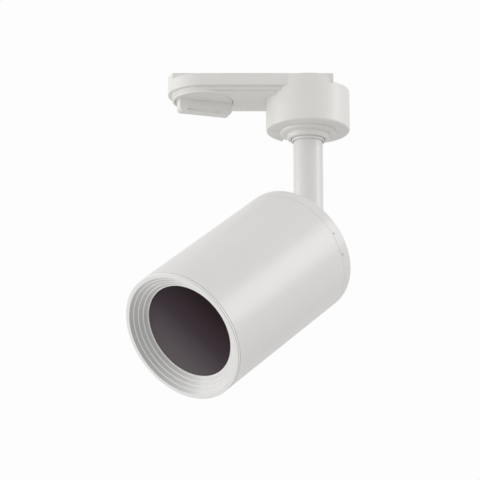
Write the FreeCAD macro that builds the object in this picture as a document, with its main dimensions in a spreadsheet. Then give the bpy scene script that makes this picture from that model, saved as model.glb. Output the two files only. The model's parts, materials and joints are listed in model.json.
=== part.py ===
"""Track spotlight: a two-wire track adapter, a swivelling stem and a tilting tubular lamp head.

Frame: millimetres, +Z up. The origin lies on the pan axis, in the plane where the adapter
seats against the underside of the track. +X runs along the track, from the lock dial to the hub.
"""
import FreeCAD, Part
import Sketcher
import math
import os
import re
from FreeCAD import Placement, Rotation, Vector

# Driving dimensions: each name is an alias in the sheet.
DIMS = {
    # adapter
    "dial_reach": 48.35, "bar_half": 17.0, "bar_end": 11.4, "bar_wall": 2.0,
    "ledge_depth": 5.6, "ledge_half": 15.2, "step_depth": 7.2, "bar_depth": 8.5,
    "foot_r": 14.85, "foot_half": 13.45,
    "floor_top": 5.6, "end_depth": 3.8, "lid_thick": 1.5, "lid_gap": 0.05,
    "rail_half": 8.6, "rail_height": 3.0, "rail_end": 16.3,
    # hub drum
    "drum_r": 19.5, "drum_wall": 2.0, "drum_bottom": 23.0, "drum_floor": 2.4,
    "shoulder_drop": 0.65, "ramp_start": 6.9, "tier_r": 13.0, "tier_bottom": 24.5,
    "boss_r": 9.7, "boss_bottom": 26.9, "collar_bottom": 28.2,
    # lock dial and contact rotor
    "dial_r": 13.25, "dial_gap": 0.3, "dial_top": 7.2, "tab_half": 12.65, "tab_thick": 5.5,
    "tab_bottom": 14.2, "tab_angle": 18.0, "spindle_r": 5.0, "rotor_r": 7.0,
    "blade_reach": 11.0, "blade_z": 1.6, "blade_thick": 0.5,
    # stem
    "stem_r": 6.87, "stem_bore": 4.6, "thread_r": 6.0, "stem_foot": 66.0, "running": 0.06,
    # tilt joint
    "pivot_drop": 75.5, "pivot_gap": 10.5, "tongue_half": 3.0, "tongue_r": 6.9,
    "ear_inner": 3.6, "ear_outer": 6.8, "ear_r": 6.5, "bolt_r": 2.0,
    "heading": 135.36, "tilt": 54.0,
    # lamp head
    "head_r": 30.0, "head_length": 89.5, "cap_band": 6.2, "cap_wall": 1.5, "seam": 0.15,
    "tube_inner": 28.2, "ring_flange": 1.0, "shadow_gap": 0.35, "ring_flat": 1.9,
    "step": 1.4, "step_in": 1.575, "step_taper": 1.1, "seat_wall": 0.4,
    "lens_r": 24.5, "lens_thick": 2.0,
}

doc = FreeCAD.newDocument("track_spotlight")
sheet = doc.addObject("Spreadsheet::Sheet", "dims")
for row, (alias, size) in enumerate(DIMS.items(), 1):
    sheet.set(f"A{row}", alias)
    sheet.set(f"B{row}", str(size))
    sheet.setAlias(f"B{row}", alias)
doc.recompute()

ALIASES = re.compile(r"\b(" + "|".join(DIMS) + r")\b")
PAN_AXIS = Placement()
STEM = Placement(Vector(0, 0, 0), Rotation(Vector(0, 0, 1), DIMS["heading"]))
HEAD = Placement(
    Vector(0, 0, -DIMS["pivot_drop"]),
    STEM.Rotation * Rotation(Vector(1, 0, 0), 180 + DIMS["tilt"]),
)
TURN = {
    "z": Rotation(),
    "x": Rotation(Vector(0, 1, 0), 90),
    "y": Rotation(Vector(1, 0, 0), -90),
}
subparts = []


def full(expression):
    """Point each dimension name in an expression at its cell."""
    return ALIASES.sub(r"dims.\1", str(expression))


def value(expression):
    return float(sheet.evalExpression(full(expression)))


def bind(obj, **expressions):
    for prop, expression in expressions.items():
        obj.setExpression(prop, full(expression))
    return obj


def shift(obj, x=0, y=0, z=0):
    for axis, distance in (("x", x), ("y", y), ("z", z)):
        obj.setExpression(f"Placement.Base.{axis}", full(distance))
    return obj


# Primitives and booleans -------------------------------------------------------------------

def box(x0, x1, y0, y1, z0, z1):
    solid = doc.addObject("Part::Box", "box")
    bind(solid, Length=f"({x1}) - ({x0})", Width=f"({y1}) - ({y0})", Height=f"({z1}) - ({z0})")
    return shift(solid, x0, y0, z0)


def cylinder(radius, low, high, axis="z", x=0, y=0, z=0):
    """A cylinder from low to high along an axis that passes through (x, y, z)."""
    solid = doc.addObject("Part::Cylinder", "cylinder")
    bind(solid, Radius=radius, Height=f"({high}) - ({low})")
    solid.Placement = Placement(Vector(), TURN[axis])
    start = {"x": x, "y": y, "z": z}
    start[axis] = f"({start[axis]}) + ({low})"
    return shift(solid, **start)


def cone(radius_low, radius_high, low, high, x=0, y=0):
    solid = doc.addObject("Part::Cone", "cone")
    bind(solid, Radius1=radius_low, Radius2=radius_high, Height=f"({high}) - ({low})")
    return shift(solid, x, y, low)


def hexagon(across_flats, low, high, axis="z"):
    solid = doc.addObject("Part::Prism", "hexagon")
    solid.Polygon = 6
    bind(solid, Circumradius=f"({across_flats}) / sqrt(3)", Height=f"({high}) - ({low})")
    solid.Placement = Placement(Vector(), TURN[axis])
    return shift(solid, **{axis: low})


def fuse(*solids):
    if len(solids) == 1:
        return solids[0]
    joined = doc.addObject("Part::MultiFuse", "fuse")
    joined.Shapes = list(solids)
    joined.Refine = True
    return joined


def common(base, tool):
    shared = doc.addObject("Part::Common", "common")
    shared.Base = base
    shared.Tool = tool
    return shared


def cut(base, *tools):
    remainder = doc.addObject("Part::Cut", "cut")
    remainder.Base = base
    remainder.Tool = fuse(*tools)
    remainder.Refine = True
    return remainder


def group(*solids):
    """Identical pieces that share one sub-part as separate solids."""
    together = doc.addObject("Part::Compound", "group")
    together.Links = list(solids)
    return together


def turned_about_z(solid, degrees):
    solid.Placement = Placement(Vector(), Rotation(Vector(0, 0, 1), degrees)) * solid.Placement
    return solid


def at_angle(build, degrees):
    """Build one solid and turn it about the Z axis through its own compound."""
    return turned_about_z(group(build()), degrees)


def rounded(base, radius, chosen):
    """Round the edges that chosen(edge) picks."""
    doc.recompute()
    blend = doc.addObject("Part::Fillet", "rounded")
    blend.Base = base
    size = value(radius)
    picked = [number for number, edge in enumerate(base.Shape.Edges, 1) if chosen(edge)]
    blend.Edges = [(number, size, size) for number in picked]
    return blend


def keep(solid, label, frame=PAN_AXIS):
    """Name a finished sub-part and put it in its frame."""
    if solid.ExpressionEngine:
        solid = group(solid)
    solid.Label = label
    solid.Placement = frame * solid.Placement
    subparts.append(solid)
    return solid


# Turned bodies -----------------------------------------------------------------------------

def profile(body, name, points):
    """A closed outline on the body's XZ plane: each corner is set from the sheet."""
    outline = body.newObject("Sketcher::SketchObject", name)
    plane = [item for item in body.Origin.OriginFeatures if item.Role == "XZ_Plane"][0]
    outline.AttachmentSupport = [(plane, "")]
    outline.MapMode = "FlatFace"
    corners = [Vector(value(across), value(along), 0) for across, along in points]
    for here, there in zip(corners, corners[1:] + corners[:1]):
        outline.addGeometry(Part.LineSegment(here, there))
    for number, (across, along) in enumerate(points):
        previous = (number - 1) % len(points)
        outline.addConstraint(Sketcher.Constraint("Coincident", previous, 2, number, 1))
        for kind, expression, size in (
            ("DistanceX", across, corners[number].x),
            ("DistanceY", along, corners[number].y),
        ):
            index = outline.addConstraint(Sketcher.Constraint(kind, -1, 1, number, 1, size))
            outline.setExpression(f"Constraints[{index}]", full(expression))
    return outline


def turned(name, points):
    """A body of revolution about its own Z axis, from (radius, height) corners."""
    body = doc.addObject("PartDesign::Body", name)
    outline = profile(body, f"{name}_outline", points)
    turn = body.newObject("PartDesign::Revolution", f"{name}_turn")
    turn.Profile = outline
    turn.ReferenceAxis = (outline, ["V_Axis"])
    turn.Angle = 360
    body.Tip = turn
    return body


def fillet_rims(body, radius, rims):
    """Round the full circles of a turned body at the given (radius, height) corners."""
    doc.recompute()
    base = body.Tip
    names = []
    for across, along in rims:
        for number, edge in enumerate(base.Shape.Edges, 1):
            if is_rim(edge, value(across), value(along)):
                names.append(f"Edge{number}")
    blend = body.newObject("PartDesign::Fillet", f"{body.Name}_fillet")
    blend.Base = (base, names)
    bind(blend, Radius=radius)
    body.Tip = blend
    return body


def is_rim(edge, radius, height):
    curve = edge.Curve
    if not isinstance(curve, Part.Circle):
        return False
    near_axis = math.hypot(curve.Center.x, curve.Center.y) < 0.01
    return near_axis and abs(curve.Radius - radius) < 0.01 and abs(curve.Center.z - height) < 0.01


def ring(name, inner, outer, low, high):
    return turned(name, [(inner, low), (outer, low), (outer, high), (inner, high)])


# Fasteners ---------------------------------------------------------------------------------

def countersunk_screw(x, y, top, length, shank, head):
    """A cross-head screw pointing down, flush at its top."""
    sink = head - shank
    body = fuse(
        cone(shank, head, top - sink, top, x, y),
        cylinder(shank, top - length, top - sink, x=x, y=y),
    )
    half, slot, depth = head * 0.62, head * 0.14, sink * 0.6
    return cut(
        body,
        box(x - half, x + half, y - slot, y + slot, top - depth, top + 1),
        box(x - slot, x + slot, y - half, y + half, top - depth, top + 1),
    )


def countersink(x, y, top, length, shank, head):
    """The hole that a countersunk screw sits in."""
    play = 0.05
    sink = head - shank
    return fuse(
        cone(shank + play, head + play, top - sink, top, x, y),
        cylinder(shank + play, top - length - 0.3, top - sink, x=x, y=y),
    )


# Adapter -----------------------------------------------------------------------------------

HUB_SCREWS = [(7.0, 12.3), (7.0, -12.3), (-13.0, 12.3), (-13.0, -12.3)]
RAIL_SCREWS = [(-19.4, 12.0), (-19.4, -12.0), (-33.0, 12.0), (-33.0, -12.0)]
LID_SCREW = {"top": 0.0, "length": 5.0, "shank": 1.2, "head": 2.2}
BASE_SCREW = {"top": -18.6, "length": 3.4, "shank": 1.0, "head": 1.9}
BASE_SCREW_ORBIT = 14.9
BASE_SCREW_ANGLES = (90, 210, 330)
FINGER_RECESS = Placement(
    Vector(-14.65, 4.6, -DIMS["drum_bottom"]), Rotation(Vector(0, 0, 1), 72)
)
FINGER_RAMP_TILT = -13
SOFT_EDGE = 0.35


def bar(half, x1, low, high):
    """The bar's long outline: straight to x1 and round at the dial end."""
    straight = box("-dial_reach", x1, f"-({half})", half, low, high)
    round_end = cylinder(half, low, high, x="-dial_reach")
    return fuse(straight, round_end)


def tier(outline, low):
    """One step of the bar's underside, with its lower edge softened."""
    return rounded(outline, SOFT_EDGE, lambda edge: is_level(edge, value(low)))


def is_level(edge, height):
    return all(abs(vertex.Point.z - height) < 0.001 for vertex in edge.Vertexes)


def foot():
    """The lowest step: a round pad under the dial and a narrower run towards the hub."""
    return fuse(
        cylinder("foot_r", "-bar_depth", "-step_depth", x="-dial_reach"),
        box("-dial_reach", 0, "-foot_half", "foot_half", "-bar_depth", "-step_depth"),
    )


def drum_shoulder():
    """The drum's upper part: full height beside the bar, then a ramp down at 45 degrees."""
    ramp = doc.addObject("Part::Wedge", "shoulder")
    bind(
        ramp, Xmin="-drum_r", Xmax="ramp_start + end_depth", X2min="-drum_r", X2max="ramp_start",
        Ymin="-end_depth", Ymax=0, Zmin="-drum_r", Zmax="drum_r", Z2min="-drum_r", Z2max="drum_r",
    )
    ramp.Placement = Placement(Vector(), Rotation(Vector(1, 0, 0), 90))
    return common(cylinder("drum_r", "-end_depth", "-shoulder_drop"), ramp)


def drum_cavity():
    inner, half = "drum_r - drum_wall", "bar_half - bar_wall"
    lower = cylinder(inner, "drum_floor - drum_bottom", "-end_depth - bar_wall")
    upper = common(
        cylinder(inner, "-end_depth - bar_wall", 0),
        box(f"-({inner})", "bar_end - bar_wall", f"-({half})", half, "-drum_bottom", 1),
    )
    return fuse(lower, upper)


def screw_posts(spots, radius, low):
    return [cylinder(radius, low, "-lid_thick", x=x, y=y) for x, y in spots]


def finger_recess():
    """A shallow ramp in the drum's base that runs out into a square notch in its rim."""
    ramp = group(box(-8.0, 8.1, -3.0, 0, -3.0, 0))
    ramp.Placement = FINGER_RECESS * Placement(Vector(), Rotation(Vector(1, 0, 0), FINGER_RAMP_TILT))
    notch = group(box(8.05, 16.0, -2.9, 0.4, -3.0, 1.5))
    notch.Placement = FINGER_RECESS
    return [ramp, notch]


def detent_block():
    return cut(
        box("-dial_reach + 7.6", "-dial_reach + 14", -2.6, 2.6, "-floor_top", "-1.6"),
        cylinder(1.6, "-dial_reach + 7", "-dial_reach + 13", axis="x", z=-3.6),
    )


def adapter_housing():
    drum = rounded(
        cylinder("drum_r", "-drum_bottom", "-end_depth"),
        1.0,
        lambda edge: is_rim(edge, DIMS["drum_r"], -DIMS["drum_bottom"]),
    )
    outside = fuse(
        tier(bar("bar_half", 0, "-ledge_depth", 0), "-ledge_depth"),
        box(0, "bar_end", "-bar_half", "bar_half", "-end_depth", 0),
        tier(bar("ledge_half", 0, "-step_depth", "-ledge_depth"), "-step_depth"),
        tier(foot(), "-bar_depth"),
        drum,
        drum_shoulder(),
    )
    hollow = cut(
        outside,
        bar("bar_half - bar_wall", 0, "-floor_top + 0.8", 0),
        bar("foot_half - 0.4", 0, "-floor_top", 0),
        drum_cavity(),
    )
    drum_posts = screw_posts(HUB_SCREWS[:2], 3.0, -9.5)
    bar_posts = screw_posts(HUB_SCREWS[2:] + RAIL_SCREWS, 2.4, -6.0)
    filled = fuse(hollow, *drum_posts, *bar_posts, detent_block())
    bottom_hole = cylinder("tier_r + lid_gap", "-drum_bottom - 1", "-drum_bottom + drum_floor + 1")
    dial_recess = cylinder(
        "dial_r + dial_gap", "-bar_depth - 1", "0.2 - dial_top", x="-dial_reach"
    )
    spindle_hole = cylinder("spindle_r + running", "-bar_depth", "-floor_top + 1", x="-dial_reach")
    screw_holes = [countersink(x, y, **LID_SCREW) for x, y in HUB_SCREWS + RAIL_SCREWS]
    base_holes = [
        at_angle(lambda: countersink(BASE_SCREW_ORBIT, 0, **BASE_SCREW), angle)
        for angle in BASE_SCREW_ANGLES
    ]
    housing = cut(
        filled, bottom_hole, dial_recess, spindle_hole, *finger_recess(), *screw_holes, *base_holes
    )
    keep(housing, "adapter_housing")


def rail_lid():
    """The lid over the bar, with the rail that enters the track; one corner is never swept."""
    half = "bar_half - bar_wall - lid_gap"
    plate = bar(half, "-rail_end", "-lid_thick", 0)
    rail = common(
        box("-dial_reach - bar_half", "-rail_end", "-rail_half", "rail_half", 0, "rail_height"),
        bar("bar_half", "-rail_end", 0, "rail_height"),
    )
    blade_sweep = cut(
        cylinder("blade_reach + 0.5", 0.9, 4, x="-dial_reach"),
        box("-dial_reach - 12", "-dial_reach - 3.7", -12, -3.7, 0, 5),
    )
    lid = cut(
        fuse(plate, rail), blade_sweep,
        cylinder("rotor_r + 0.3", -3, 4, x="-dial_reach"),
        box(-34.6, -21.4, -6.1, 6.1, -3, 1.3),
        box(-29.0, -23.0, -12, 12, "blade_z", "blade_z + blade_thick"),
        *[countersink(x, y, **LID_SCREW) for x, y in RAIL_SCREWS],
    )
    keep(lid, "rail_lid")


def hub_lid():
    gap = "lid_gap"
    half = f"bar_half - bar_wall - {gap}"
    disc = common(
        cylinder(f"drum_r - drum_wall - {gap}", "-lid_thick", 0),
        box("-rail_end + 0.1", f"bar_end - bar_wall - {gap}", f"-({half})", half, -5, 5),
    )
    square = box("-rail_end + 0.1", 0, f"-({half})", half, "-lid_thick", 0)
    lid = cut(fuse(disc, square), *[countersink(x, y, **LID_SCREW) for x, y in HUB_SCREWS])
    keep(lid, "hub_lid")


def lid_screws():
    keep(group(*[countersunk_screw(x, y, **LID_SCREW) for x, y in HUB_SCREWS]), "hub_lid_screws")
    keep(group(*[countersunk_screw(x, y, **LID_SCREW) for x, y in RAIL_SCREWS]), "rail_lid_screws")


def anchor_plate():
    """Steel strip across the rail whose ends hook over the track's lips."""
    keep(box(-28.9, -23.1, -10.4, 10.4, "blade_z", "blade_z + blade_thick"), "anchor_plate")


def terminal_block():
    block = cut(
        box(-34.0, -22.0, -5.5, 5.5, "-floor_top", 1.2),
        cylinder(1.5, -35, -21, axis="x", y=2.7, z=-3.4),
        cylinder(1.5, -35, -21, axis="x", y=-2.7, z=-3.4),
        *[cylinder(1.45, -3.4, 2, x=x, y=y) for x in (-31, -25) for y in (2.7, -2.7)],
    )
    keep(block, "terminal_block")
    screws = [terminal_screw(x, y) for x in (-31, -25) for y in (2.7, -2.7)]
    keep(group(*screws), "terminal_screws")


def terminal_screw(x, y):
    return cut(cylinder(1.4, -2.9, 0.9, x=x, y=y), box(x - 2, x + 2, y - 0.25, y + 0.25, 0.3, 2))


def wiper_strips():
    """Two quarter-ring brass strips on the floor under the contact rotor, one for each pole."""
    strips = []
    for near, far in ((1.5, 8.0), (-8.0, -1.5)):
        arc = cut(
            cylinder(6.8, "-floor_top", "-floor_top + 0.3", x="-dial_reach"),
            cylinder(5.6, "-floor_top - 1", 0, x="-dial_reach"),
        )
        side = box("-dial_reach - 8", "-dial_reach + 8", near, far, "-floor_top", 0)
        strips.append(common(arc, side))
    keep(group(*strips), "wiper_strips")


# Lock dial and contact rotor ---------------------------------------------------------------

def lock_dial():
    disc = cylinder("dial_r", "-bar_depth", "-dial_top")
    half_thick = "tab_thick / 2"
    tab = box("-tab_half", "tab_half", f"-{half_thick}", half_thick, "-tab_bottom", "-dial_top")
    tab = rounded(tab, 1.8, is_tab_corner)
    scoop = cylinder(60, -20, 0, y="-60 - tab_thick / 2 + 0.55")
    groove_line = {"axis": "x", "y": "-tab_thick / 2 + 0.35", "z": "-tab_bottom + 0.8"}
    grip_groove = cylinder(0.55, -9, 6.2, **groove_line)
    shaped_tab = common(cut(tab, scoop, grip_groove), cylinder("dial_r - 0.4", -20, 0))
    spindle = cylinder("spindle_r", "-dial_top", "-floor_top + 0.2")
    screw_hole = cylinder(1.45, -9.5, 0)
    dial = cut(fuse(disc, shaped_tab, spindle), screw_hole)
    place_on_dial(dial, "lock_dial", DIMS["tab_angle"])


def is_tab_corner(edge):
    """The two end edges across the thumb tab's bottom."""
    ends = [vertex.Point for vertex in edge.Vertexes]
    if len(ends) != 2:
        return False
    across = abs(ends[0].x - ends[1].x) + abs(ends[0].z - ends[1].z) < 0.001
    return across and ends[0].z < -DIMS["tab_bottom"] + 0.01


def place_on_dial(solid, label, degrees=0.0):
    axis = Placement(Vector(-DIMS["dial_reach"], 0, 0), Rotation(Vector(0, 0, 1), degrees))
    keep(solid, label, axis)


def blade(side):
    """A brass contact: a finger that reaches into the track and a leg down to its wiper."""
    y0, y1 = (5.6, "blade_reach") if side > 0 else ("-blade_reach", -5.6)
    leg0, leg1 = (5.6, 6.3) if side > 0 else (-6.3, -5.6)
    finger = box(-2.2, 2.2, y0, y1, "blade_z", "blade_z + blade_thick")
    leg = box(-2.2, 2.2, leg0, leg1, "-floor_top + 0.35", "blade_z")
    return fuse(finger, leg)


def contact_rotor():
    body = fuse(
        cylinder("rotor_r", "-floor_top + 0.4", "rail_height + 0.3"),
        common(box(-3.1, 3.1, -10.0, 10.0, 0.95, "blade_z"), cylinder(10.0, 0, 3)),
    )
    slots = [
        box(-2.25, 2.25, -11.5, -5.55, "blade_z", "blade_z + blade_thick + 0.05"),
        box(-2.25, 2.25, 5.55, 11.5, "blade_z", "blade_z + blade_thick + 0.05"),
        box(-2.25, 2.25, -6.35, -5.55, -6, "blade_z + 0.01"),
        box(-2.25, 2.25, 5.55, 6.35, -6, "blade_z + 0.01"),
    ]
    rotor = cut(
        body, *slots,
        cylinder("spindle_r + 0.02", -6, "-floor_top + 0.2"),
        cylinder(1.45, -6, 5),
        cylinder(2.7, 2.0, 5),
        cylinder(1.9, -4.6, -2.6, axis="z", x=8.4),
    )
    place_on_dial(rotor, "contact_rotor")
    place_on_dial(blade(1), "live_blade")
    place_on_dial(blade(-1), "neutral_blade")


def rotor_screw():
    screw = cut(
        fuse(cylinder(2.6, 2.0, 3.1), cylinder(1.4, -9.3, 2.0)),
        box(-1.6, 1.6, -0.3, 0.3, 2.5, 4),
        box(-0.3, 0.3, -1.6, 1.6, 2.5, 4),
    )
    place_on_dial(screw, "rotor_screw")


def detent():
    """A ball and spring in the floor block, facing the rotor's side notch."""
    ball = doc.addObject("Part::Sphere", "ball")
    bind(ball, Radius=1.5)
    keep(shift(ball, "-dial_reach + 9.1", 0, -3.6), "detent_ball")
    coil = doc.addObject("Part::Helix", "coil")
    bind(coil, Pitch=0.62, Height=1.9, Radius=1.0)
    doc.recompute()
    wire = doc.addObject("Part::Feature", "detent_spring")
    start = Part.Wire([Part.makeCircle(0.2, Vector(1.0, 0, 0), Vector(0, 1, 0))])
    wire.Shape = Part.Wire(coil.Shape.Edges).makePipeShell([start], True, True)
    doc.removeObject(coil.Name)
    wire.Placement = Placement(Vector(10.75 - DIMS["dial_reach"], 0, -3.6), TURN["x"])
    keep(wire, "detent_spring")


# Hub and pan bearing -----------------------------------------------------------------------

def swivel_base():
    base = turned("swivel_base_body", [
        (8.15, "-18.6"), ("drum_r - drum_wall - 0.3", "-18.6"),
        ("drum_r - drum_wall - 0.3", "-drum_bottom + drum_floor"),
        ("tier_r", "-drum_bottom + drum_floor"), ("tier_r", "-tier_bottom"),
        ("boss_r", "-tier_bottom"), ("boss_r", "-boss_bottom"), (8.0, "-boss_bottom"),
        (8.0, -24.45), (8.7, -24.45), (8.7, -22.6), (8.15, -22.6),
    ])
    fillet_rims(base, 1.3, [("tier_r", "-tier_bottom")])
    fillet_rims(base, 0.8, [("boss_r", "-boss_bottom")])
    pin_hole = at_angle(lambda: cylinder(1.3, -20, -17, x=12.4), DIMS["heading"] + 90)
    holes = [
        at_angle(lambda: countersink(BASE_SCREW_ORBIT, 0, **BASE_SCREW), angle)
        for angle in BASE_SCREW_ANGLES
    ]
    keep(cut(base, pin_hole, *holes), "swivel_base")
    screws = [
        at_angle(lambda: countersunk_screw(BASE_SCREW_ORBIT, 0, **BASE_SCREW), angle)
        for angle in BASE_SCREW_ANGLES
    ]
    keep(group(*screws), "base_screws")
    pin = at_angle(lambda: cylinder(1.25, -20, -15.8, x=12.4), DIMS["heading"] + 90)
    keep(pin, "pan_stop_pin")


def pan_bearing():
    keep(turned("pan_bushing_body", [
        ("stem_r + running", -22.6), (8.1, -22.6), (8.1, -18.6), (10.5, -18.6),
        (10.5, -17.6), ("stem_r + running", -17.6),
    ]), "pan_bushing")
    collar = turned("stem_collar_body", [
        (7.15, "-collar_bottom"), (7.6, "-collar_bottom"), (7.6, -24.4),
        (8.65, -24.4), (8.65, -23.6), (7.15, -23.6),
    ])
    keep(fillet_rims(collar, 0.2, [(7.6, "-collar_bottom"), (7.15, "-collar_bottom")]), "stem_collar")


# Stem --------------------------------------------------------------------------------------

LEAD_SLOT = (-64.6, -55.0)
SET_SCREW = {"axis": "x", "z": -58.6}


def stem_tube():
    tube = turned("stem_tube_body", [
        (5.3, "-stem_foot"), ("stem_r", "-stem_foot"), ("stem_r", -23.6), (6.5, -23.6),
        (6.5, -22.7), ("stem_r", -22.7), ("stem_r", -17.8), ("thread_r", -17.8),
        ("thread_r", -9.5), ("stem_bore", -9.5), ("stem_bore", -56), (5.3, -56),
    ])
    lead_exit = box(-1.9, 1.9, -9, -3, *LEAD_SLOT)
    keep(cut(tube, lead_exit, cylinder(1.3, 0, 8, **SET_SCREW)), "stem_tube", STEM)


def knuckle_tongue():
    neck = fuse(
        cylinder(5.25, "-stem_foot", -56.1),
        cylinder("stem_r", "-pivot_drop + 8", "-stem_foot"),
    )
    half, radius, pivot = "tongue_half", "tongue_r", "-pivot_drop"
    blade_plate = common(
        fuse(
            box(f"-{half}", half, f"-{radius}", radius, pivot, f"{pivot} + 8"),
            cylinder(radius, f"-{half}", half, axis="x", z=pivot),
        ),
        cylinder("stem_r", -90, -60),
    )
    tongue = cut(
        fuse(neck, blade_plate),
        cylinder("bolt_r + running", -5, 5, axis="x", z=pivot),
        cylinder(3.0, -64.9, -55),
        box(-1.9, 1.9, -9, 0, *LEAD_SLOT),
        cylinder(1.3, 0, 8, **SET_SCREW),
    )
    keep(tongue, "knuckle_tongue", STEM)
    screw = cut(cylinder(1.25, 3.2, 6.6, **SET_SCREW), box(5.9, 6.7, -1.0, 1.0, -58.8, -58.4))
    keep(screw, "stem_set_screw", STEM)


def stem_clamp():
    """Circlip, stop washer, disc spring, washer and nut: they hold the stem in its bush."""
    clip = cut(
        ring("circlip_ring", 6.52, 8.3, -23.55, -22.75),
        box(-1.8, 1.8, 5, 10, -24, -22),
    )
    keep(clip, "stem_circlip", STEM)
    stop = fuse(
        ring("stop_ring", "thread_r + 0.05", 10.3, -17.55, -16.75),
        box(-1.2, 1.2, -13.7, -9.5, -17.55, -16.75),
    )
    keep(stop, "pan_stop_washer", STEM)
    keep(turned("disc_spring_body", [
        ("thread_r + 0.1", -15.9), (9.8, -16.75), (9.8, -16.1), ("thread_r + 0.1", -15.25),
    ]), "disc_spring", STEM)
    keep(ring("clamp_ring", "thread_r + 0.05", 9.3, -15.25, -14.5), "clamp_washer", STEM)
    nut = common(
        cut(hexagon(16.0, -14.5, -10.7), cylinder("thread_r + 0.02", -16, -9)),
        cone(10.4, 8.2, -14.5, -10.6),
    )
    keep(nut, "stem_nut", STEM)


# Tilt joint --------------------------------------------------------------------------------

CAP_SCREW_ANGLES = (-11, 9, 169, 189)
CAP_SCREW = {"axis": "x", "z": "pivot_gap + 5.3"}


def cap_screw_holes():
    return [
        at_angle(lambda: cylinder(0.65, 24, "head_r + 2", **CAP_SCREW), angle)
        for angle in CAP_SCREW_ANGLES
    ]


def cap_screw():
    """A small grub screw through the cap's band into the tube's spigot."""
    return cut(
        cylinder(0.6, 26.9, "head_r - 0.15", **CAP_SCREW),
        cylinder(0.3, "head_r - 0.8", "head_r + 1", **CAP_SCREW),
    )


def rear_cap():
    inner = "head_r - cap_wall"
    cup = turned("rear_cap_cup", [
        (0, "pivot_gap"), ("head_r", "pivot_gap"), ("head_r", "pivot_gap + cap_band"),
        (inner, "pivot_gap + cap_band"), (inner, "pivot_gap + 2.6"), (0, "pivot_gap + 2.6"),
    ])
    fillet_rims(cup, 1.4, [("head_r", "pivot_gap")])
    cheeks = []
    for low, high in (("ear_inner", "ear_outer"), ("-ear_outer", "-ear_inner")):
        cheeks.append(box(low, high, "-ear_r", "ear_r", 0, "pivot_gap + 0.5"))
        cheeks.append(cylinder("ear_r", low, high, axis="x"))
    cap = cut(
        fuse(cup, *cheeks),
        cylinder("bolt_r + 0.03", -10, 10, axis="x"),
        cylinder(3.0, 5, 20, y=13),
        *cap_screw_holes(),
    )
    keep(cap, "rear_cap", HEAD)


def head_fasteners():
    screws = [at_angle(cap_screw, angle) for angle in CAP_SCREW_ANGLES]
    keep(group(*screws), "rear_cap_screws", HEAD)
    sides = (("tongue_half + 0.05", "ear_inner"), ("-ear_inner", "-tongue_half - 0.05"))
    washers = [
        cut(cylinder(5.2, low, high, axis="x"), cylinder("bolt_r + 0.1", -9, 9, axis="x"))
        for low, high in sides
    ]
    keep(group(*washers), "tilt_washers", HEAD)
    bolt = cut(
        fuse(cylinder(3.5, "ear_outer", "ear_outer + 2.4", axis="x"),
             cylinder("bolt_r", -10.6, "ear_outer", axis="x")),
        hexagon(2.5, "ear_outer + 1", "ear_outer + 4", axis="x"),
    )
    keep(bolt, "pivot_bolt", HEAD)
    nut = cut(hexagon(7.0, "-ear_outer - 3.2", "-ear_outer", axis="x"),
              cylinder("bolt_r + 0.02", -12, -5, axis="x"))
    keep(nut, "pivot_nut", HEAD)
    sleeve = turned("grommet_body", [
        (1.9, "pivot_gap - 1.2"), (4.2, "pivot_gap - 1.2"), (4.2, "pivot_gap"), (2.95, "pivot_gap"),
        (2.95, "pivot_gap + 2.6"), (4.0, "pivot_gap + 2.6"), (4.0, "pivot_gap + 3.6"),
        (1.9, "pivot_gap + 3.6"),
    ])
    keep(sleeve, "cable_grommet", HEAD * Placement(Vector(0, 13, 0), Rotation()))


# Lamp head ---------------------------------------------------------------------------------

def head_tube():
    front = "pivot_gap + head_length - ring_flange - shadow_gap"
    rear = "pivot_gap + cap_band"
    tube = turned("head_tube_body", [
        (26.6, "pivot_gap + 2.7"), ("head_r - cap_wall - lid_gap", "pivot_gap + 2.7"),
        ("head_r - cap_wall - lid_gap", rear), ("head_r - seam", rear),
        ("head_r", f"{rear} + seam"), ("head_r", front),
        ("tube_inner", front), ("tube_inner", 57.5), (27.2, 57.5), (27.2, 17.6), (26.6, 17.6),
    ])
    keep(cut(tube, *cap_screw_holes()), "head_tube", HEAD)


def baffle_ring():
    """The anti-glare ring: a flat rim and four tapered steps down to the lens."""
    face = "pivot_gap + head_length"
    outline = [("head_r", f"{face} - ring_flange"), ("head_r", face)]
    for number in range(4):
        radius = f"head_r - ring_flat - {number} * step_in"
        outline.append((radius, f"{face} - {number} * step"))
        outline.append((f"{radius} - step_taper", f"{face} - {number + 1} * step"))
    lens_rim = "head_r - ring_flat - 4 * step_in"
    seat = f"{face} - 4 * step - seat_wall"
    outline += [
        (lens_rim, f"{face} - 4 * step"), (lens_rim, seat), ("lens_r + 0.3", seat),
        ("tube_inner - 0.1", f"{face} - ring_flange - 2"),
        ("tube_inner - 0.1", f"{face} - ring_flange"),
    ]
    body = turned("baffle_body", outline)
    keep(fillet_rims(body, 0.25, [("head_r", face)]), "baffle_ring", HEAD)


def optics():
    front = "pivot_gap + head_length - 4 * step - seat_wall - 0.05"
    back = f"{front} - lens_thick"
    lens = turned("lens_body", [(0, back), ("lens_r", back), ("lens_r", front), (0, front)])
    keep(lens, "smoked_lens", HEAD)
    keep(ring("gasket_body", 22.2, "lens_r", f"{back} - 1", back), "lens_gasket", HEAD)
    rim = "tube_inner - 0.4"
    keep(turned("reflector_body", [
        (8.0, 66.2), (8.8, 66.2), (23.3, f"{back} - 2"), (rim, f"{back} - 2"),
        (rim, f"{back} - 1"), (22.4, f"{back} - 1"),
    ]), "reflector", HEAD)


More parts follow.
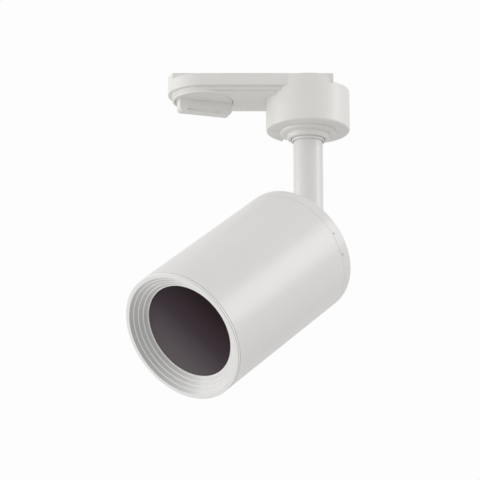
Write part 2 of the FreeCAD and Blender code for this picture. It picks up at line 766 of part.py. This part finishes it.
def heat_sink():
    flange = cylinder("tube_inner - 0.05", 57.5, 63.2)
    core = cylinder(8.0, 40, 57.5)
    fins = []
    for number in range(12):
        fins.append(at_angle(lambda: box(7.5, 26.6, -0.8, 0.8, 40, 57.5), 30 * number))
    wire_holes = [cylinder(1.6, 39, 64, x=side * 11.5, y=3.1) for side in (1, -1)]
    holder_holes = [cylinder(1.05, 58.5, 64, x=0, y=side * 12.0) for side in (1, -1)]
    keep(cut(fuse(flange, core, *fins), *wire_holes, *holder_holes), "heat_sink", HEAD)


def light_engine():
    keep(box(-8.5, 8.5, -8.5, 8.5, 63.2, 64.4), "led_board", HEAD)
    keep(cylinder(6.0, 64.4, 64.9), "led_emitter", HEAD)
    holder = cut(
        cylinder(15.0, 63.2, 66.2),
        box(-8.6, 8.6, -8.6, 8.6, 63, 64.6),
        cone(7.0, 9.2, 64.3, 66.3),
        *[cylinder(1.05, 63, 67, y=side * 12.0) for side in (1, -1)],
        *[cylinder(1.6, 63, 67, x=side * 11.5, y=3.1) for side in (1, -1)],
    )
    keep(holder, "led_holder", HEAD)
    screws = []
    for side in (1, -1):
        y = side * 12.0
        screw = fuse(cylinder(1.0, 58.8, 66.2, y=y), cylinder(1.9, 66.2, 67.4, y=y))
        screws.append(cut(screw, box(-1.5, 1.5, y - 0.25, y + 0.25, 66.8, 68)))
    keep(group(*screws), "led_holder_screws", HEAD)


def driver():
    tray = turned("driver_tray_body", [
        (0, 18), (26.0, 18), (26.0, 38.5), (24.8, 38.5), (24.8, 19.2), (0, 19.2),
    ])
    posts = [cylinder(2.0, 19, 22, x=x, y=y) for x in (-17, 17) for y in (-9, 9)]
    tray = cut(fuse(tray, *posts), cylinder(3.2, 17, 20, y=13))
    keep(tray, "driver_tray", HEAD)
    board = cut(
        box(-20, 20, -12, 12, 22, 23.6),
        *[cylinder(1.0, 21, 24, x=x, y=y) for x in (-17, 17) for y in (-9, 9)],
    )
    keep(board, "driver_board", HEAD)
    transformer = fuse(box(-5.5, 7.5, -6, 6, 23.6, 33), box(-7.5, 9.5, -3.6, 3.6, 25, 31.6))
    keep(transformer, "driver_transformer", HEAD)
    cans = [cylinder(3.1, 23.6, 34.5, x=-15.8, y=y) for y in (-4, 4)]
    keep(group(*cans), "driver_capacitors", HEAD)
    chips = [box(13.0, 17.0, -6.5, -1.5, 23.6, 25.2), box(13.0, 17.0, 1.5, 6.5, 23.6, 25.2)]
    keep(group(*chips), "driver_chips", HEAD)


# Internal leads ----------------------------------------------------------------------------

def lead(label, route, radius, frame=PAN_AXIS):
    """A round lead along straight runs joined by tangent arcs."""
    points = [Vector(*point) for point in route]
    edges = []
    start = points[0]
    for before, corner, after in zip(points, points[1:], points[2:]):
        arc, arc_start, arc_end = bend(before, corner, after)
        edges.append(Part.LineSegment(start, arc_start).toShape())
        edges.append(arc)
        start = arc_end
    edges.append(Part.LineSegment(start, points[-1]).toShape())
    spine = Part.Wire(edges)
    section = Part.Wire([Part.makeCircle(radius, points[0], points[1] - points[0])])
    solid = spine.makePipeShell([section], True, True)
    expected = math.pi * radius ** 2 * spine.Length
    if abs(solid.Volume - expected) > 0.02 * expected:
        raise RuntimeError(f"{label}: lead volume {solid.Volume:.2f}, expected {expected:.2f}")
    piece = doc.addObject("Part::Feature", label)
    piece.Shape = solid
    return keep(piece, label, frame)


def bend(before, corner, after):
    """The largest tangent arc at a corner that leaves its two runs room."""
    back = (before - corner).normalize()
    ahead = (after - corner).normalize()
    turn = math.pi - back.getAngle(ahead)
    reach = 0.45 * min((before - corner).Length, (after - corner).Length)
    radius = reach / math.tan(turn / 2)
    inward = (back + ahead).normalize()
    middle = corner + inward * (radius / math.cos(turn / 2) - radius)
    start = corner + back * reach
    end = corner + ahead * reach
    return Part.Arc(start, middle, end).toShape(), start, end


def leads():
    supply = [(-20.5, 0, -3.4), (-9, 0, -3.4), (0, 0, -10.5), (0, 0, -30)]
    lead("supply_lead", supply, 1.6)
    stem_route = [(0, 0, -30.5), (0, 0, -50), (0, -1.2, -57.5), (0, -7.4, -62.3)]
    lead("stem_lead", stem_route, 1.6, STEM)
    mains = [(0, 13, 10.0), (0, 13, 17.0), (0, 10.8, 21.2)]
    lead("head_lead", mains, 1.5, HEAD)
    for side, label in ((1, "led_lead_plus"), (-1, "led_lead_minus")):
        route = [(side * 11.5, 3.1, 23.7), (side * 11.5, 3.1, 66.8)]
        lead(label, route, 0.8, HEAD)


# Assembly ----------------------------------------------------------------------------------

def check_and_write():
    doc.recompute()
    for item in doc.Objects:
        if "Invalid" in item.State or "Error" in item.State:
            raise RuntimeError(f"{item.Name} ({item.Label}) failed: {item.State}")
    os.makedirs("parts", exist_ok=True)
    for item in subparts:
        shape = item.Shape
        if shape.isNull() or not shape.isValid() or shape.Volume <= 0:
            raise RuntimeError(f"{item.Label} has a bad shape")
        shape.exportStep(f"parts/{item.Label}.step")
        print(f"{item.Label}: {len(shape.Solids)} solid, {shape.Volume:.1f} mm3")


adapter_housing()
rail_lid()
hub_lid()
lid_screws()
anchor_plate()
terminal_block()
wiper_strips()
lock_dial()
contact_rotor()
rotor_screw()
detent()
swivel_base()
pan_bearing()
stem_tube()
knuckle_tongue()
stem_clamp()
rear_cap()
head_fasteners()
head_tube()
baffle_ring()
optics()
heat_sink()
light_engine()
driver()
leads()
check_and_write()
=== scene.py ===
"""Studio picture of a white track spotlight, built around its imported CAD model."""
import json
import math

import bpy
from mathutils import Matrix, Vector


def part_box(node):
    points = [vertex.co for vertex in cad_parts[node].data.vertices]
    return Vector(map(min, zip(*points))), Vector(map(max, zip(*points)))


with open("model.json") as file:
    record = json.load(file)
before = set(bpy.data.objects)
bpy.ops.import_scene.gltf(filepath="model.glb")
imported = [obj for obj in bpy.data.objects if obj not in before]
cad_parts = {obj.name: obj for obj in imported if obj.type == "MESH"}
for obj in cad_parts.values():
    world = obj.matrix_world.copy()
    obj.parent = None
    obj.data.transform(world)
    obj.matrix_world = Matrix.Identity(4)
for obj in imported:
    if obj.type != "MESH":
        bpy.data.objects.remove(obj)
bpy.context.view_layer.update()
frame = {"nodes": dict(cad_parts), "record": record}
nodes = frame["nodes"]
scene = bpy.context.scene

MM = 0.001

# Unit vectors along the lamp's beam and along its tilt axis, at rest.
BEAM = (-0.5685, -0.5757, -0.5878)
TILT_AXIS = (0.7115, -0.7026, 0.0)

# The camera's place in metres, its tilt from straight down in degrees, its lens and sensor in mm.
CAMERA_PLACE = (-0.03165, -1.06625, -0.36737)
CAMERA_TILT = 105.324
CAMERA_LENS = 180.25
SENSOR_WIDTH = 36.0
NEAR_CLIP = 0.01

# The studio: its tone, how bright it is below, level with and above the lamp, and its backdrop.
STUDIO_TONE = (1.0, 0.992, 0.978)
STUDIO_BELOW, STUDIO_LEVEL, STUDIO_ABOVE = 0.66, 0.85, 0.74
BACKDROP_GLOW = 0.98
FLOOR_HEIGHT = -1.3
FLOOR_SIZE = 16.0
FLOOR_GREY = (0.74, 0.74, 0.735)
FLOOR_ROUGHNESS = 0.7

# Every softbox faces this point, and has an azimuth and an elevation in degrees, a distance and
# a size in metres, and a power in watts. Azimuth 0 is the camera's side.
LAMP_MIDDLE = Vector((-0.03, -0.03, -0.09))
SOFTBOXES = {
    "right_softbox": (83, 25, 1.1, (0.52, 0.6), 2.15),
    "left_softbox": (-88, 0, 1.1, (0.6, 0.6), 3.5),
    "high_softbox": (-115, 48, 1.3, (0.9, 0.7), 1.6),
}

# The whites of the aluminium's coat, of the adapter's plastic and of the anti-glare ring.
COAT_WHITE = (0.806, 0.797, 0.791)
ADAPTER_WHITE = (0.845, 0.833, 0.817)
RING_WHITE = (0.91, 0.91, 0.905)

# A soft edge's radius in metres, and the least angle of an edge that gets one, in degrees.
SOFT_EDGE = 0.12 * MM
SOFT_EDGE_ANGLE = 40


# Camera and studio -------------------------------------------------------------------------

def make_camera():
    data = bpy.data.cameras.new("camera")
    data.lens = CAMERA_LENS
    data.sensor_width = SENSOR_WIDTH
    data.clip_start = NEAR_CLIP
    camera = bpy.data.objects.new("camera", data)
    camera.location = CAMERA_PLACE
    camera.rotation_euler = (math.radians(CAMERA_TILT), 0, 0)
    scene.collection.objects.link(camera)
    scene.camera = camera


def make_world():
    """Soft light from all round, strongest level with the lamp, and a near-white backdrop."""
    world = bpy.data.worlds.new("studio")
    scene.world = world
    world.use_nodes = True
    tree = world.node_tree
    tree.nodes.clear()
    output = tree.nodes.new("ShaderNodeOutputWorld")
    coordinates = tree.nodes.new("ShaderNodeTexCoord")
    split = tree.nodes.new("ShaderNodeSeparateXYZ")
    height = tree.nodes.new("ShaderNodeMapRange")
    height.inputs["From Min"].default_value = -1.0
    lighting = tree.nodes.new("ShaderNodeBackground")
    backdrop = tree.nodes.new("ShaderNodeBackground")
    backdrop.inputs["Color"].default_value = (1, 1, 1, 1)
    backdrop.inputs["Strength"].default_value = BACKDROP_GLOW
    rays = tree.nodes.new("ShaderNodeLightPath")
    mix = tree.nodes.new("ShaderNodeMixShader")
    link = tree.links.new
    link(coordinates.outputs["Generated"], split.inputs[0])
    link(split.outputs["Z"], height.inputs["Value"])
    glow = ramp(tree, height.outputs["Result"], [
        (0.25, tinted(STUDIO_TONE, STUDIO_BELOW)),
        (0.5, tinted(STUDIO_TONE, STUDIO_LEVEL)),
        (0.75, tinted(STUDIO_TONE, STUDIO_ABOVE)),
    ])
    link(glow, lighting.inputs["Color"])
    link(rays.outputs["Is Camera Ray"], mix.inputs[0])
    link(lighting.outputs[0], mix.inputs[1])
    link(backdrop.outputs[0], mix.inputs[2])
    link(mix.outputs[0], output.inputs["Surface"])


def make_softbox(name, azimuth, elevation, distance, size, power):
    """A rectangular area light that faces the middle of the lamp."""
    around, up = math.radians(azimuth), math.radians(elevation)
    direction = Vector((
        math.sin(around) * math.cos(up), -math.cos(around) * math.cos(up), math.sin(up)
    ))
    data = bpy.data.lights.new(name, "AREA")
    data.shape = "RECTANGLE"
    data.size, data.size_y = size
    data.energy = power
    light = bpy.data.objects.new(name, data)
    light.location = LAMP_MIDDLE + direction * distance
    light.rotation_euler = (-direction).to_track_quat("-Z", "Y").to_euler()
    scene.collection.objects.link(light)


def make_floor():
    bpy.ops.mesh.primitive_plane_add(size=FLOOR_SIZE, location=(0, 0, FLOOR_HEIGHT))
    floor = bpy.context.active_object
    floor.name = "studio_floor"
    material, _, shader = new_material("studio_floor")
    shader.inputs["Base Color"].default_value = (*FLOOR_GREY, 1)
    shader.inputs["Roughness"].default_value = FLOOR_ROUGHNESS
    floor.data.materials.append(material)


# Material helpers --------------------------------------------------------------------------

def new_material(name):
    material = bpy.data.materials.new(name)
    material.use_nodes = True
    shader = material.node_tree.nodes["Principled BSDF"]
    return material, material.node_tree, shader


def tinted(colour, shade):
    return tuple(channel * shade for channel in colour)


def noise(tree, scale, detail, roughness=0.5, stretch=None):
    """A noise texture over object space, in metres, with an optional stretch of that space."""
    texture = tree.nodes.new("ShaderNodeTexNoise")
    texture.inputs["Scale"].default_value = scale
    texture.inputs["Detail"].default_value = detail
    texture.inputs["Roughness"].default_value = roughness
    coordinates = tree.nodes.new("ShaderNodeTexCoord")
    source = coordinates.outputs["Object"]
    if stretch:
        mapping = tree.nodes.new("ShaderNodeMapping")
        mapping.inputs["Scale"].default_value = stretch
        tree.links.new(source, mapping.inputs["Vector"])
        source = mapping.outputs["Vector"]
    tree.links.new(source, texture.inputs["Vector"])
    return texture.outputs["Fac"]


def ramp(tree, fac, stops):
    """A colour ramp from (position, colour) stops."""
    node = tree.nodes.new("ShaderNodeValToRGB")
    node.color_ramp.elements[0].position = stops[0][0]
    node.color_ramp.elements[0].color = (*stops[0][1], 1)
    node.color_ramp.elements[1].position = stops[-1][0]
    node.color_ramp.elements[1].color = (*stops[-1][1], 1)
    for position, colour in stops[1:-1]:
        node.color_ramp.elements.new(position).color = (*colour, 1)
    tree.links.new(fac, node.inputs["Fac"])
    return node.outputs["Color"]


def span(tree, fac, low, high):
    """A value that runs from low to high as fac runs from 0 to 1."""
    node = tree.nodes.new("ShaderNodeMapRange")
    node.inputs["To Min"].default_value = low
    node.inputs["To Max"].default_value = high
    tree.links.new(fac, node.inputs["Value"])
    return node.outputs["Result"]


def along(tree, vector, axis):
    """How far a vector socket points along an axis."""
    node = tree.nodes.new("ShaderNodeVectorMath")
    node.operation = "DOT_PRODUCT"
    node.inputs[1].default_value = axis
    tree.links.new(vector, node.inputs[0])
    return node.outputs["Value"]


def calculate(tree, operation, first, second):
    """The sum or product of a value socket with another socket or with a number."""
    node = tree.nodes.new("ShaderNodeMath")
    node.operation = operation
    tree.links.new(first, node.inputs[0])
    if isinstance(second, float):
        node.inputs[1].default_value = second
    else:
        tree.links.new(second, node.inputs[1])
    return node.outputs["Value"]


def bump(tree, shader, height, depth, strength):
    node = tree.nodes.new("ShaderNodeBump")
    node.inputs["Strength"].default_value = strength
    node.inputs["Distance"].default_value = depth
    tree.links.new(height, node.inputs["Height"])
    tree.links.new(node.outputs["Normal"], shader.inputs["Normal"])


def cloudy(tree, scale, detail, colour):
    """A colour with faint, slightly darker clouds in it."""
    cloud = noise(tree, scale, detail)
    return ramp(tree, cloud, [(0.3, tinted(colour, 0.985)), (0.7, colour)])


def spark_grain(tree, shader, low, high):
    """The fine grain of a moulding, with roughness that varies from low to high."""
    grain = noise(tree, 3800, detail=1)
    tree.links.new(span(tree, grain, low, high), shader.inputs["Roughness"])
    bump(tree, shader, grain, 0.01 * MM, 0.4)
    shader.inputs["Specular IOR Level"].default_value = 0.7


# Materials ---------------------------------------------------------------------------------

def powder_coat(name, colour):
    """White powder coat on aluminium: a fine orange peel, with faint cloudiness."""
    material, tree, shader = new_material(name)
    tree.links.new(cloudy(tree, 45, 4, colour), shader.inputs["Base Color"])
    grain = noise(tree, 2600, detail=2, roughness=0.6)
    tree.links.new(span(tree, grain, 0.27, 0.37), shader.inputs["Roughness"])
    bump(tree, shader, grain, 0.02 * MM, 0.5)
    shader.inputs["Specular IOR Level"].default_value = 0.8
    return material


def moulded(name, colour, roughness=0.38):
    """Injection-moulded plastic with a fine spark-eroded grain."""
    material, tree, shader = new_material(name)
    tree.links.new(cloudy(tree, 60, 3, colour), shader.inputs["Base Color"])
    spark_grain(tree, shader, roughness - 0.04, roughness + 0.05)
    return material


def metal(name, colour, roughness, stretch=None):
    """Bare metal with fine lines or a fine cast grain."""
    material, tree, shader = new_material(name)
    shader.inputs["Metallic"].default_value = 1.0
    lines = noise(tree, 900, detail=5, roughness=0.65, stretch=stretch)
    tone = ramp(tree, lines, [(0.25, tinted(colour, 0.82)), (0.75, colour)])
    tree.links.new(tone, shader.inputs["Base Color"])
    roughness_range = span(tree, lines, roughness - 0.08, roughness + 0.10)
    tree.links.new(roughness_range, shader.inputs["Roughness"])
    bump(tree, shader, lines, 0.008 * MM, 0.5)
    return material


def baffle_plastic_painted_shade():
    """White moulding with painted shade: its tapered steps are painted a greyer white on one side
    of the beam, standing in for the shade that falls inside the ring.
    """
    material, tree, shader = new_material("white_ring")
    normal = tree.nodes.new("ShaderNodeTexCoord").outputs["Normal"]
    # Painted shade: steps whose normal leans along both the tilt axis and the beam get a darker
    # white, for the shade on that side of the ring.
    painted_shade_side = calculate(
        tree, "MULTIPLY", along(tree, normal, TILT_AXIS), along(tree, normal, BEAM)
    )
    tone = ramp(tree, painted_shade_side, [
        (0.08, RING_WHITE), (0.27, tinted(RING_WHITE, 0.74)), (0.45, tinted(RING_WHITE, 0.58)),
    ])
    tree.links.new(tone, shader.inputs["Base Color"])
    spark_grain(tree, shader, 0.34, 0.43)
    return material


def smoked_lens():
    """Dark aubergine lens with a satin face, with a painted reflection and shade that run from
    near black at its upper right to paler towards its lower left.
    """
    material, tree, shader = new_material("smoked_lens")
    low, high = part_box("smoked_lens")
    coordinates = tree.nodes.new("ShaderNodeTexCoord")
    centred = tree.nodes.new("ShaderNodeMapping")
    centred.inputs["Location"].default_value = -(low + high) / 2
    tree.links.new(coordinates.outputs["Object"], centred.inputs["Vector"])
    # Painted reflection and shade: the base colour runs from near black at the upper right to a
    # paler tone at the lower left.
    painted_reflection = along(tree, centred.outputs["Vector"], (-29.0, 0.0, -30.0))
    tone = ramp(tree, calculate(tree, "ADD", painted_reflection, 0.5), [
        (0.0, (0.014, 0.005, 0.008)), (0.1, (0.018, 0.008, 0.012)),
        (0.5, (0.050, 0.035, 0.044)),
        (0.9, (0.112, 0.096, 0.107)), (1.0, (0.124, 0.108, 0.118)),
    ])
    tree.links.new(tone, shader.inputs["Base Color"])
    haze = noise(tree, 350, detail=2)
    tree.links.new(span(tree, haze, 0.50, 0.56), shader.inputs["Roughness"])
    shader.inputs["Specular IOR Level"].default_value = 0.1
    return material


def rubber():
    """Black rubber with a coarse, dull grain."""
    material, tree, shader = new_material("rubber")
    grain = noise(tree, 1500, detail=3)
    tone = ramp(tree, grain, [(0.3, (0.012, 0.012, 0.013)), (0.7, (0.03, 0.03, 0.03))])
    tree.links.new(tone, shader.inputs["Base Color"])
    shader.inputs["Roughness"].default_value = 0.75
    bump(tree, shader, grain, 0.04 * MM, 0.5)
    return material


def phosphor():
    """The yellow silicone over the LED chips, with the chips just showing as spots."""
    material, tree, shader = new_material("phosphor")
    spots = tree.nodes.new("ShaderNodeTexVoronoi")
    spots.inputs["Scale"].default_value = 900
    coordinates = tree.nodes.new("ShaderNodeTexCoord")
    tree.links.new(coordinates.outputs["Object"], spots.inputs["Vector"])
    tone = ramp(tree, spots.outputs["Distance"], [
        (0.1, (0.78, 0.50, 0.06)), (0.6, (0.90, 0.66, 0.12)),
    ])
    tree.links.new(tone, shader.inputs["Base Color"])
    shader.inputs["Roughness"].default_value = 0.25
    return material


# One maker for each material slot of the record.
LOOKS = {
    "adapter_plastic": lambda: moulded("adapter_plastic", ADAPTER_WHITE),
    "insert_plastic": lambda: moulded("insert_plastic", (0.83, 0.83, 0.82), 0.5),
    "white_metal": lambda: powder_coat("white_metal", COAT_WHITE),
    "white_ring": baffle_plastic_painted_shade,
    "steel": lambda: metal("steel", (0.62, 0.62, 0.64), 0.35),
    "brass": lambda: metal("brass", (0.80, 0.56, 0.26), 0.28, (1, 8, 1)),
    "nylon": lambda: moulded("nylon", (0.82, 0.81, 0.76), 0.5),
    "rubber": rubber,
    "smoked_glass": smoked_lens,
    "reflector_metal": lambda: metal("reflector_metal", (0.88, 0.88, 0.89), 0.22),
    "sink_aluminium": lambda: metal("sink_aluminium", (0.72, 0.73, 0.74), 0.45),
    "phosphor": phosphor,
    "circuit_board": lambda: moulded("circuit_board", (0.03, 0.20, 0.08), 0.35),
    "black_plastic": lambda: moulded("black_plastic", (0.02, 0.02, 0.02), 0.4),
    "lead_sheath": lambda: moulded("lead_sheath", (0.76, 0.76, 0.74), 0.5),
}


# Nodes -------------------------------------------------------------------------------------

def soften_edges(node):
    """A hair of a radius on every sharp edge, so that edges catch the light as real ones do."""
    bevel = node.modifiers.new("soft_edges", "BEVEL")
    bevel.width = SOFT_EDGE
    bevel.segments = 2
    bevel.limit_method = "ANGLE"
    bevel.angle_limit = math.radians(SOFT_EDGE_ANGLE)
    bevel.use_clamp_overlap = True


def dress_nodes():
    """Give every CAD node its material and softened edges."""
    looks = {slot: make() for slot, make in LOOKS.items()}
    for entry in frame["record"]["subparts"]:
        node = nodes[entry["node"]]
        node.data.materials.clear()
        node.data.materials.append(looks[entry["material_slot"]])
        soften_edges(node)


make_camera()
make_world()
for softbox, setting in SOFTBOXES.items():
    make_softbox(softbox, *setting)
make_floor()
dress_nodes()

scene.view_settings.view_transform = "Standard"
